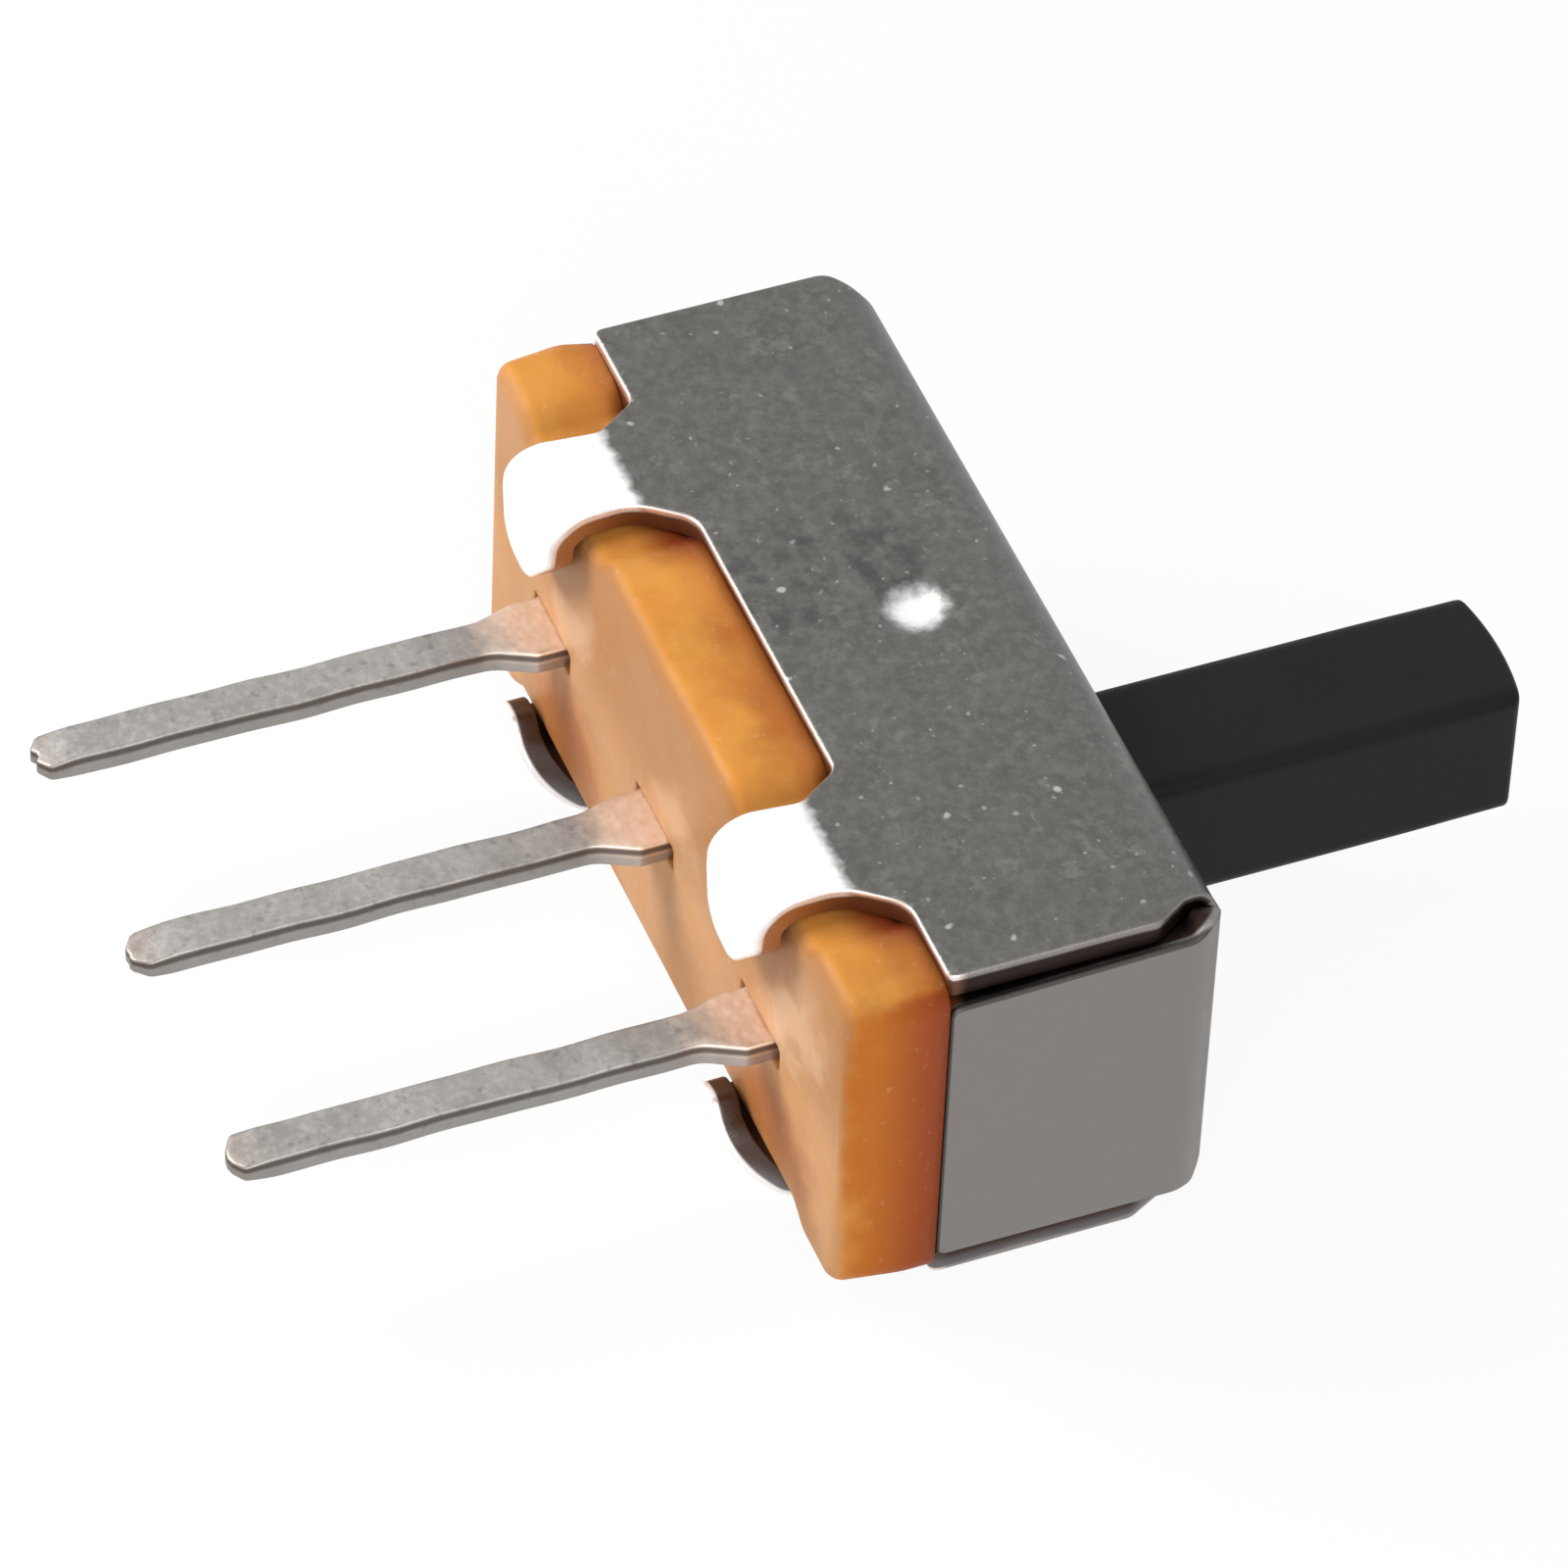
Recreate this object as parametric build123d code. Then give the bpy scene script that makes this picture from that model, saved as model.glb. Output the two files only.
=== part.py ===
from build123d import *

import os

# Miniature slide switch, one pole, two positions, lying on one long side wall.
# Millimetres.  X is the way the lever slides.  +Z is up.  The lever points to +Y and the
# terminals to -Y.  The origin is on the outer face of the long wall that the switch lies on,
# under the middle of its travel and half way along the depth of the case.

# --- driving dimensions: overall body ---
case_length = 8.5          # outside the two end walls, along X
case_width = 3.7           # outside the two long walls, along Z
body_height = 3.5          # board seat to the outside of the top plate, along Y
seat_reveal = 0.92         # how much of the base shows below the case

# --- steel case, folded from one sheet ---
sheet = 0.25               # thickness of the steel
bend_radius = 0.42         # outside radius of the four bends round the top plate
long_wall_setback = 0.1    # the long walls stop this short of the outside of the end walls
corner_slit = 0.2          # open slit between the upper long wall and an end wall
low_corner_slit = 0.06     # the same slit at the lower long wall
relief_radius = 0.17       # round corner relief where each slit ends
relief_drop = 0.42         # centre of the relief below the outside of the top plate
corner_cut_x = 0.36        # slanted cut at the upper corners of the long walls, along X
corner_cut_y = 0.66        # the same cut, along Y
dimple_radius = 0.36       # detent dimple pressed into the middle of the upper long wall
dimple_depth = 0.1
dimple_y = 0.09            # its centre, along Y

# --- crimp tabs, two on each long wall ---
tab_width = 1.12
tab_spacing = 4.88         # centre to centre
tab_middle = -0.16         # the pair's middle, along X
tab_reach = 0.98           # from the outside of the wall to the tip, over the base
tab_tip_radius = 0.36
tab_root_fillet = 0.26
tab_lift = 0.06            # the leaf springs back this far off the seat

# --- moulded base ---
base_end_flare = 0.07      # the flange grows this much longer towards the case
base_end_tuck = 0.14       # and at -X it then tucks in again under the end wall
base_tuck_height = 0.26    # height of that tucked band
base_length = 8.34         # flange at the seat
base_plug_height = 0.34    # part of the base that goes up inside the case
base_edge_radius = 0.15    # rounding round the seat
base_fit = 0.02            # clearance of the base inside the walls
flange_margin = 0.1        # the flange's long sides lie this far inside the walls' outside
recess_gap = 0.04          # clearance beside a crimp tab in its recess of the flange
recess_edge = 0.1          # rounding of the seat where a crimp tab bends over it
base_shoulder_gap = 0.03   # clearance between the end walls and the flange

# --- terminals ---
terminal_pitch = 2.5
terminal_shift = -0.2      # the middle terminal from the middle of the case, along X
terminal_drop = 0.2        # the row of terminals below the middle of the case's width
pin_width = 0.41
pin_thickness = 0.24
pin_length = 4.8           # seat to tip
pin_tip_radius = 0.11
shoulder_width = 0.76
shoulder_length = 0.24     # shoulder below the seat
shoulder_flare = 0.36      # length over which the pin widens into the shoulder
blade_height = 0.62        # fixed contact standing above the floor of the base
slot_fit = 0.01            # clearance of a terminal in its slot
slot_relief = 0.12         # open end of each slot, on the side of the widest gap

# --- slider ---
travel = 2.0               # lever moves this far, from one end to the other
lever_width = 1.36         # along X
lever_thickness = 1.44     # along Z
lever_length = 3.95        # from the outside of the top plate
lever_edge = 0.07          # rounding of the lever's long edges
lever_crown = 0.08         # the lever's end face is crowned by this much
lever_drop = 0.09          # centre line of the lever below the middle of the case's width
lever_slot_gap = 0.1       # clearance round the lever in the slot of the top plate
carriage_end_gap = 0.15    # to the end wall, at the end of the travel
carriage_side_gap = 0.08   # to each long wall
carriage_top_gap = 0.04    # under the top plate
carriage_floor_gap = 0.1   # above the base
groove_gap = 0.1           # clearance round the dimple in the groove of the carriage's side
channel_width = 1.1        # channel in the underside that clears the fixed contacts
channel_roof = 0.55        # plastic left above the channel

# --- sliding contact ---
clip_sheet = 0.12
clip_length = 3.3
clip_leaf_gap = 0.07       # from each leaf to the fixed contacts
clip_fit = 0.01            # clearance under the roof of the channel
clip_dimple = 0.1          # radius of the contact dimples
clip_dimple_gap = 0.03     # from a dimple to the fixed contacts

# --- positions that follow from the sizes above ---
case_depth = body_height - seat_reveal
top_y = case_depth / 2
open_y = -case_depth / 2
seat_y = top_y - body_height
plug_y = open_y + base_plug_height
inner_half_length = case_length / 2 - sheet
inner_low = sheet
inner_high = case_width - sheet
mid_z = case_width / 2
lever_centre = mid_z - lever_drop
terminal_height = mid_z - terminal_drop
slider_x = travel / 2
carriage_half = inner_half_length - travel / 2 - carriage_end_gap
carriage_top = top_y - sheet - carriage_top_gap
carriage_floor = plug_y + carriage_floor_gap
channel_top = carriage_top - channel_roof
tab_places = (tab_middle - tab_spacing / 2, tab_middle + tab_spacing / 2)
terminal_places = [terminal_shift + step * terminal_pitch for step in (-1, 0, 1)]


def block(x0, x1, y0, y1, z0, z1):
    """A box between two corners."""
    return Pos((x0 + x1) / 2, (y0 + y1) / 2, (z0 + z1) / 2) * Box(x1 - x0, y1 - y0, z1 - z0)


def plate(points, low, high):
    """A flat outline in X and Y, raised from one height to another."""
    outline = make_face(Polyline(*[(x, y, 0) for x, y in points], close=True))
    return Pos(0, 0, low) * extrude(outline, high - low)


def upright_edges(shape, y):
    """The edges along Z that lie at one place along Y."""
    return shape.edges().filter_by(Axis.Z).filter_by(lambda edge: abs(edge.center().Y - y) < 1e-3)


def tray(half_length, y0, y1, z0, z1, radius):
    """A block with its four edges round the +Y face rounded."""
    body = block(-half_length, half_length, y0, y1, z0, z1)
    return fillet(body.faces().sort_by(Axis.Y)[-1].edges(), radius)


def crimp_tab(x):
    """One tab of the upper wall: down past the base, round its edge and in over the seat."""
    inner_radius = base_edge_radius
    outer_radius = inner_radius + sheet
    leaf_y = seat_y - tab_lift
    bend_y = leaf_y + inner_radius
    bend_z = inner_high - inner_radius
    tip_z = case_width - tab_reach
    corner = 0.5 ** 0.5
    path = [
        Line((open_y, case_width), (bend_y, case_width)),
        ThreePointArc(
            (bend_y, case_width),
            (bend_y - outer_radius * corner, bend_z + outer_radius * corner),
            (bend_y - outer_radius, bend_z),
        ),
        Line((bend_y - outer_radius, bend_z), (bend_y - outer_radius, tip_z)),
        Line((bend_y - outer_radius, tip_z), (leaf_y, tip_z)),
        Line((leaf_y, tip_z), (leaf_y, bend_z)),
        ThreePointArc(
            (leaf_y, bend_z),
            (bend_y - inner_radius * corner, bend_z + inner_radius * corner),
            (bend_y, inner_high),
        ),
        Line((bend_y, inner_high), (open_y, inner_high)),
        Line((open_y, inner_high), (open_y, case_width)),
    ]
    section = Plane.YZ * make_face(Wire(path))
    tab = Pos(x - tab_width / 2, 0, 0) * extrude(section, tab_width)
    tips = tab.edges().filter_by(Axis.Y).filter_by(lambda edge: abs(edge.center().Z - tip_z) < 1e-3)
    return fillet(tips, tab_tip_radius)


def tab_gussets(x):
    """The concave roundings where a tab of the upper wall leaves the wall's open edge."""
    half = tab_width / 2
    radius = tab_root_fillet
    web = block(x - half - radius, x + half + radius, open_y - radius, open_y, inner_high, case_width)
    for side in (-1, 1):
        place = Pos(x + side * (half + radius), open_y - radius, case_width)
        web -= place * Cylinder(radius, 4 * sheet)
    return web


def corner_cuts(slit):
    """What is cut out of one corner of the case, at +X and the upper wall."""
    past = sheet
    outside = case_length / 2 + past
    wall_end = case_length / 2 - long_wall_setback
    slit_low = inner_high - slit
    relief_y = top_y - relief_drop
    cuts = block(inner_half_length - past, outside, open_y - past, relief_y, slit_low, inner_high)
    cuts += block(wall_end, outside, open_y - past, top_y + past, slit_low, case_width + past)
    slanted = [
        (wall_end, top_y - corner_cut_y),
        (outside, top_y - corner_cut_y),
        (outside, top_y + past),
        (wall_end - corner_cut_x, top_y + past),
        (wall_end - corner_cut_x, top_y - bend_radius / 2),
    ]
    cuts += plate(slanted, inner_high - relief_radius / 2, case_width + past)
    relief = Rot(0, 45, 0) * Cylinder(relief_radius, 6 * sheet)
    cuts += Pos(wall_end, relief_y, inner_high) * relief
    return cuts


def press_dimple(shell):
    """The upper long wall with its round dimple pressed in, and the bump that leaves inside."""
    radius = (dimple_radius ** 2 + dimple_depth ** 2) / (2 * dimple_depth)
    place = Pos(0, dimple_y, case_width + radius - dimple_depth)
    reach = 2 * dimple_radius
    web = block(-reach, reach, dimple_y - reach, dimple_y + reach, inner_high - sheet, case_width)
    return shell + (place * Sphere(radius + sheet) & web) - place * Sphere(radius)


def case():
    """The steel case: one folded sheet with a lever slot, a dimple and four crimp tabs."""
    shell = tray(case_length / 2, open_y, top_y, 0, case_width, bend_radius)
    shell -= tray(
        inner_half_length,
        open_y - sheet,
        top_y - sheet,
        inner_low,
        inner_high,
        bend_radius - sheet,
    )
    half_slot = travel / 2 + lever_width / 2 + lever_slot_gap
    half_open = lever_thickness / 2 + lever_slot_gap
    slot = block(
        -half_slot,
        half_slot,
        top_y - 2 * sheet,
        top_y + sheet,
        lever_centre - half_open,
        lever_centre + half_open,
    )
    slot = fillet(slot.edges().filter_by(Axis.Y), lever_edge + lever_slot_gap)
    shell -= slot
    middle = Plane.XY.offset(mid_z)
    for cut in (corner_cuts(corner_slit), mirror(corner_cuts(low_corner_slit), middle)):
        shell -= cut
        shell -= mirror(cut, Plane.YZ)
    for x in tab_places:
        upper = crimp_tab(x) + tab_gussets(x)
        shell += upper
        shell += mirror(upper, middle)
    return press_dimple(shell)


def base():
    """The moulded base: a flange with tab recesses, a plug inside the case, three slots."""
    low = inner_low + base_fit
    high = inner_high - base_fit
    half = base_length / 2
    flange_y = open_y - base_shoulder_gap
    widest_y = flange_y - base_tuck_height
    widest = half + base_end_flare
    outline = [
        (-half, seat_y),
        (half, seat_y),
        (widest, widest_y),
        (widest, flange_y),
        (-widest + base_end_tuck, flange_y),
        (-widest, widest_y),
    ]
    body = plate(outline, flange_margin, case_width - flange_margin)
    body = fillet(body.faces().sort_by(Axis.Y)[0].edges(), base_edge_radius)
    recess = tab_width / 2 + tab_root_fillet + recess_gap
    for x in tab_places:
        for z0, z1 in ((0, low), (high, case_width)):
            body -= block(x - recess, x + recess, seat_y - sheet, flange_y + sheet, z0, z1)
    bent_over = body.edges().filter_by(Axis.X).filter_by(
        lambda edge: abs(edge.center().Y - seat_y) < 1e-3
        and min(abs(edge.center().Z - low), abs(edge.center().Z - high)) < 1e-3
    )
    body = fillet(bent_over, recess_edge)
    plug_half = inner_half_length - base_fit
    body += block(-plug_half, plug_half, flange_y - sheet, plug_y, low, high)
    slot_half = pin_thickness / 2 + slot_fit
    for x in terminal_places:
        body -= block(
            x - shoulder_width / 2 - slot_fit,
            x + shoulder_width / 2 + slot_relief,
            seat_y - sheet,
            plug_y + sheet,
            terminal_height - slot_half,
            terminal_height + slot_half,
        )
    return body


def terminal(x):
    """One terminal: rounded pin, flared shoulder and the fixed contact above the base."""
    half_pin = pin_width / 2
    half_shoulder = shoulder_width / 2
    tip_y = seat_y - pin_length
    shoulder_y = seat_y - shoulder_length
    neck_y = shoulder_y - shoulder_flare
    end_y = plug_y + blade_height
    outline = [
        (x - half_pin, tip_y),
        (x + half_pin, tip_y),
        (x + half_pin, neck_y),
        (x + half_shoulder, shoulder_y),
        (x + half_shoulder, end_y),
        (x - half_shoulder, end_y),
        (x - half_shoulder, shoulder_y),
        (x - half_pin, neck_y),
    ]
    low = terminal_height - pin_thickness / 2
    body = plate(outline, low, low + pin_thickness)
    body = fillet(upright_edges(body, tip_y), pin_tip_radius)
    return fillet(upright_edges(body, neck_y), shoulder_flare)


def slider():
    """The moulded slider: the lever and the carriage that runs under the top plate."""
    low = inner_low + carriage_side_gap
    high = inner_high - carriage_side_gap
    left = slider_x - carriage_half
    right = slider_x + carriage_half
    carriage = block(left, right, carriage_floor, carriage_top, low, high)
    carriage = fillet(carriage.edges().filter_by(Axis.X).sort_by(Axis.Y)[-2:], bend_radius - sheet)
    groove_half = dimple_radius + groove_gap
    carriage -= block(
        slider_x - travel / 2 - groove_half,
        slider_x + travel / 2 + groove_half,
        dimple_y - groove_half,
        dimple_y + groove_half,
        high - dimple_depth,
        high + sheet,
    )
    channel_low = terminal_height - channel_width / 2
    carriage -= block(
        left - sheet,
        right + sheet,
        carriage_floor - sheet,
        channel_top,
        channel_low,
        channel_low + channel_width,
    )
    end_y = top_y + lever_length
    side_y = end_y - lever_crown
    half_width = lever_width / 2
    face = [
        Line((slider_x - half_width, carriage_top), (slider_x - half_width, side_y)),
        ThreePointArc((slider_x - half_width, side_y), (slider_x, end_y), (slider_x + half_width, side_y)),
        Line((slider_x + half_width, side_y), (slider_x + half_width, carriage_top)),
        Line((slider_x + half_width, carriage_top), (slider_x - half_width, carriage_top)),
    ]
    low_z = lever_centre - lever_thickness / 2
    lever = Pos(0, 0, low_z) * extrude(make_face(Wire(face)), lever_thickness)
    lever = fillet(lever.edges().filter_by(Axis.Y), lever_edge)
    return carriage + lever


def contact_clip():
    """The sliding contact: a folded strip whose two leaves straddle the fixed contacts."""
    centre = slider_x + terminal_shift
    half = clip_length / 2
    roof = channel_top - clip_fit
    leaf_inner = pin_thickness / 2 + clip_leaf_gap
    leaf_outer = leaf_inner + clip_sheet
    strip = block(
        centre - half,
        centre + half,
        carriage_floor,
        roof,
        terminal_height - leaf_outer,
        terminal_height + leaf_outer,
    )
    strip = fillet(strip.edges().filter_by(Axis.X).sort_by(Axis.Y)[-2:], clip_sheet * 1.5)
    strip -= block(
        centre - half - clip_sheet,
        centre + half + clip_sheet,
        carriage_floor - clip_sheet,
        roof - clip_sheet,
        terminal_height - leaf_inner,
        terminal_height + leaf_inner,
    )
    dimple_y = (carriage_floor + plug_y + blade_height) / 2
    for x in (centre - terminal_pitch / 2, centre + terminal_pitch / 2):
        for side in (-1, 1):
            reach = pin_thickness / 2 + clip_dimple_gap + clip_dimple
            strip += Pos(x, dimple_y, terminal_height + side * reach) * Sphere(clip_dimple)
    return strip


pieces = {
    "case": case(),
    "base": base(),
    "slider": slider(),
    "contact_clip": contact_clip(),
}
for name, x in zip(("terminal_left", "terminal_middle", "terminal_right"), terminal_places):
    pieces[name] = terminal(x)

os.makedirs("parts", exist_ok=True)
for name, piece in pieces.items():
    export_step(piece, f"parts/{name}.step")
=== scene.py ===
import math

import bpy
import numpy as np
from bpy.props import FloatProperty, FloatVectorProperty, PointerProperty
from mathutils import Matrix, Vector
from mathutils.geometry import delaunay_2d_cdt


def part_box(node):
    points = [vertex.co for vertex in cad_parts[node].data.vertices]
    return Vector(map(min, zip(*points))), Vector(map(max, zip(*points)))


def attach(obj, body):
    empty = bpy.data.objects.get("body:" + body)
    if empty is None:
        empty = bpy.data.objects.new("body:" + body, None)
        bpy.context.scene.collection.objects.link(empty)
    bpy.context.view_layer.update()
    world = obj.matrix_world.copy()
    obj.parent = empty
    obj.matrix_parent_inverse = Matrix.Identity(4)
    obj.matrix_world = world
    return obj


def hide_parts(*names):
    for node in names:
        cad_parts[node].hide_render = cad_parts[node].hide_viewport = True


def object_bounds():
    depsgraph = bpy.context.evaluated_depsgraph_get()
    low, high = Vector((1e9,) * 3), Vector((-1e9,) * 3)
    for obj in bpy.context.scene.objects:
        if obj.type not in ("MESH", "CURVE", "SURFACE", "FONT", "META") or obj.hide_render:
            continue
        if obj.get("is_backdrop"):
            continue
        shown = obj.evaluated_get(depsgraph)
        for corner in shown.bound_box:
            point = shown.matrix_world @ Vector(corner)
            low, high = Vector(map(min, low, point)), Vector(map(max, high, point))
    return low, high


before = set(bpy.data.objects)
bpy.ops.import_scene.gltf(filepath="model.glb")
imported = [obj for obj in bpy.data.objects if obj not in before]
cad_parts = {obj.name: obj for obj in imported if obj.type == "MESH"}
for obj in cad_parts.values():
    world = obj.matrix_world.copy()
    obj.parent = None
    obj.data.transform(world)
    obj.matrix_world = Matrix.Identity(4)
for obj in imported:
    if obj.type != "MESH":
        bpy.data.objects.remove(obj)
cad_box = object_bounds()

bl_info = {
    "name": "Miniature slide switch",
    "version": (1, 0, 0),
    "blender": (4, 5, 0),
    "location": "View3D > Sidebar > Slide switch",
    "description": "Builds the pieces, finishes and stage of a miniature slide switch",
    "category": "Add Mesh",
}

MM = 0.001
QUARTER = math.pi / 2


def corner_of(node):
    """The lowest and highest corner of a frame node, in millimetres."""
    low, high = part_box(node)
    return np.array(low) / MM, np.array(high) / MM


CASE_LOW, CASE_HIGH = corner_of("case")
BASE_LOW, BASE_HIGH = corner_of("base")
SLIDER_LOW, SLIDER_HIGH = corner_of("slider")
PIN_LOW, PIN_HIGH = corner_of("terminal_middle")
CLIP_HIGH = corner_of("contact_clip")[1]
CARRIAGE_TOP = CASE_HIGH[1] - 0.29
LEVER_Z = 1.76  # the height of the lever's middle
CRIMP_TABS = (2.28, -2.6)  # where the tabs stand along the case
TERMINALS = ("terminal_left", "terminal_middle", "terminal_right")


# ---- Shapes: flat outlines, trimmed grids and the slabs that are carried through them ----


def rounded(corners, step):
    """A closed outline: straight spans between tangent arcs, one arc for each corner.

    A row of corners is (a, b, radius).  Each arc touches both spans at radius times the
    tangent of half the turn, and is cut back where a span is too short for it.
    """
    corners = np.asarray(corners, float)
    points, radii = corners[:, :2], corners[:, 2]
    before = np.roll(points, 1, axis=0) - points
    after = np.roll(points, -1, axis=0) - points
    long_before = np.linalg.norm(before, axis=1)
    long_after = np.linalg.norm(after, axis=1)
    to_before = before / long_before[:, None]
    to_after = after / long_after[:, None]
    cosine = np.clip((to_before * to_after).sum(1), -1, 1)
    half_turn = (math.pi - np.arccos(cosine)) / 2
    reach = radii * np.tan(half_turn)
    reach = np.minimum(reach, 0.49 * np.minimum(long_before, long_after))
    radii = reach / np.maximum(np.tan(half_turn), 1e-9)
    pieces = []
    for i, corner in enumerate(points):
        start = corner + to_before[i] * reach[i]
        finish = corner + to_after[i] * reach[i]
        count = max(1, math.ceil(2 * half_turn[i] * radii[i] / step))
        if reach[i] > 1e-6:
            middle = to_before[i] + to_after[i]
            middle = middle / np.linalg.norm(middle)
            centre = corner + middle * math.hypot(reach[i], radii[i])
            u, v = (start - centre) / radii[i], (finish - centre) / radii[i]
            full = 2 * half_turn[i]
            t = np.linspace(0, full, count + 1)[:, None]
            arc = (np.sin(full - t) * u + np.sin(t) * v) / math.sin(full)
            pieces.append(centre + radii[i] * arc)
        else:
            pieces.append(corner[None])
        following = (i + 1) % len(points)
        goal = points[following] + to_before[following] * reach[following]
        spans = max(1, math.ceil(np.linalg.norm(goal - finish) / step))
        t = np.linspace(0, 1, spans + 1)[1:-1, None]
        pieces.append(finish + (goal - finish) * t)
    return np.vstack(pieces)


def set_in(loop, edge):
    """An outline moved in by the rounding of its rim, which then comes out to it again."""
    return loop - outward(loop) * edge


def outward(loop):
    """Unit normals of a closed outline, to the right of its direction of travel."""
    along = np.roll(loop, -1, axis=0) - np.roll(loop, 1, axis=0)
    along /= np.linalg.norm(along, axis=1)[:, None]
    return np.column_stack((along[:, 1], -along[:, 0]))


def inside(points, loops):
    """True for points inside the outlines: a ray along +a crosses them an odd number of times."""
    crossings = np.zeros(len(points), int)
    for loop in loops:
        a0, b0 = loop[:, 0], loop[:, 1]
        a1, b1 = np.roll(a0, -1), np.roll(b0, -1)
        slope = (a1 - a0) / np.where(b1 == b0, 1e-12, b1 - b0)
        a, b = points[:, 0, None], points[:, 1, None]
        spans = (b0 > b) != (b1 > b)
        crossings += (spans & (a < a0 + slope * (b - b0))).sum(1)
    return crossings % 2 == 1


def clear_of(points, loops, gap):
    """True for points at least a gap away from every outline point."""
    rims = np.vstack(loops)
    keep = np.ones(len(points), bool)
    for first in range(0, len(points), 2000):
        part = points[first:first + 2000]
        away = np.abs(part[:, None] - rims[None]).max(2)
        keep[first:first + 2000] = away.min(1) > gap
    return keep


def trimmed_grid(loops, lines_a, lines_b, gap):
    """A grid of points trimmed by outlines: the outlines' points come first, in order."""
    a, b = np.meshgrid(lines_a, lines_b)
    grid = np.column_stack((a.ravel(), b.ravel()))
    grid = grid[inside(grid, loops)]
    grid = grid[clear_of(grid, loops, gap)]
    flat = np.vstack(loops + [grid])
    edges, first = [], 0
    for loop in loops:
        index = np.arange(len(loop))
        edges.append(np.column_stack((index, np.roll(index, -1))) + first)
        first += len(loop)
    found = delaunay_2d_cdt(
        [Vector(p) for p in flat.tolist()], np.vstack(edges).tolist(), [], 1, 1e-6
    )
    if len(found[0]) != len(flat):
        raise RuntimeError("an outline crosses or touches itself")
    faces = np.array([f for f in found[2] if len(f) == 3])
    corners = flat[faces]
    faces = faces[inside(corners.mean(1), loops)]
    corners = flat[faces]
    side1, side2 = corners[:, 1] - corners[:, 0], corners[:, 2] - corners[:, 0]
    turned = side1[:, 0] * side2[:, 1] - side1[:, 1] * side2[:, 0] < 0
    faces[turned] = faces[turned][:, ::-1]
    return flat, faces


def add_object(name, data):
    """A new object in the scene, holding a mesh, a camera or a light."""
    made = bpy.data.objects.new(name, data)
    bpy.context.scene.collection.objects.link(made)
    return made


def make_piece(name, xyz, tris, quads, depth):
    """A mesh object in metres from corner arrays in millimetres, smooth all over."""
    mesh = bpy.data.meshes.new(name)
    mesh.vertices.add(len(xyz))
    mesh.vertices.foreach_set("co", (xyz * MM).astype(np.float32).ravel())
    loops = np.concatenate((tris.ravel(), quads.ravel())).astype(np.int32)
    mesh.loops.add(len(loops))
    mesh.loops.foreach_set("vertex_index", loops)
    mesh.polygons.add(len(tris) + len(quads))
    starts = np.concatenate(
        (np.arange(len(tris)) * 3, 3 * len(tris) + np.arange(len(quads)) * 4)
    )
    mesh.polygons.foreach_set("loop_start", starts.astype(np.int32))
    mesh.update(calc_edges=True)
    mesh.validate()
    mesh.shade_smooth()
    share = mesh.attributes.new("depth", "FLOAT", "POINT")
    share.data.foreach_set("value", depth.astype(np.float32))
    return add_object(name, mesh)


def slab(name, loops, rims, lines, gap, place):
    """A slab cut to flat outlines, with a shaped rim along each of them.

    The first outline runs anticlockwise and bounds the slab; the others run clockwise and
    are holes.  A rim is rows of (how far out from the outline, how deep under the front),
    from the front face to the back face.  place(a, b, depth) gives the point in space.
    """
    flat, faces = trimmed_grid(loops, lines[0], lines[1], gap)
    count = len(flat)
    last = np.array(flat)
    back_depth = rims[0][-1][1]
    points = [place(flat[:, 0], flat[:, 1], np.zeros(count))]
    share = [np.zeros(count)]
    quads, first, following = [], 0, count
    ends = []
    for loop, rim in zip(loops, rims):
        normal, n = outward(loop), len(loop)
        index = np.arange(n)
        row = index + first
        for out, deep in rim[1:-1]:
            moved = loop + normal * out
            points.append(place(moved[:, 0], moved[:, 1], np.full(n, float(deep))))
            share.append(np.full(n, deep / back_depth))
            below = index + following
            quads.append(np.column_stack(
                (row, below, np.roll(below, -1), np.roll(row, -1))
            ))
            row, following = below, following + n
        last[first:first + n] = loop + normal * rim[-1][0]
        ends.append((row, index + first))
        first += n
    points.append(place(last[:, 0], last[:, 1], np.full(count, float(back_depth))))
    share.append(np.ones(count))
    for row, index in ends:
        below = index + following
        quads.append(np.column_stack((row, below, np.roll(below, -1), np.roll(row, -1))))
    tris = np.vstack((faces, faces[:, ::-1] + following))
    return make_piece(
        name, np.vstack(points), tris, np.vstack(quads), np.concatenate(share)
    )


def united(name, first, second):
    """One closed piece from two closed pieces that overlap."""
    joining = first.modifiers.new("union", "BOOLEAN")
    joining.operation = "UNION"
    joining.solver = "EXACT"
    joining.object = second
    shown = first.evaluated_get(bpy.context.evaluated_depsgraph_get())
    mesh = bpy.data.meshes.new_from_object(shown)
    for old in (first, second):
        bpy.data.objects.remove(old)
    mesh.name = name
    return add_object(name, mesh)


def quarter_round(radius, turns):
    """Rim rows of a quarter circle: out by radius sin t, deep by radius (1 - cos t)."""
    t = np.linspace(0, QUARTER, turns + 1)
    return np.column_stack((radius * np.sin(t), radius * (1 - np.cos(t))))


def rim_rows(thick, front, back, turns=4):
    """Rim of a slab: a quarter round at the front, a straight band, a quarter round at the back."""
    t = np.linspace(0, QUARTER, turns + 1)
    top = quarter_round(front, turns)
    low = np.column_stack((
        front - back + back * np.cos(t), thick - back + back * np.sin(t)
    ))
    return np.vstack((top, low))


def lines_between(*spans):
    """Grid lines: each span is (start, end, step)."""
    parts = [
        np.linspace(start, end, max(2, round(abs(end - start) / step) + 1))
        for start, end, step in spans
    ]
    return np.unique(np.round(np.concatenate(parts), 5))


def ease(value, low, high):
    """0 below low, 1 above high, with a smooth S between them."""
    t = np.clip((value - low) / (high - low), 0, 1)
    return t * t * (3 - 2 * t)


# ---- Shader maths ----


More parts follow.
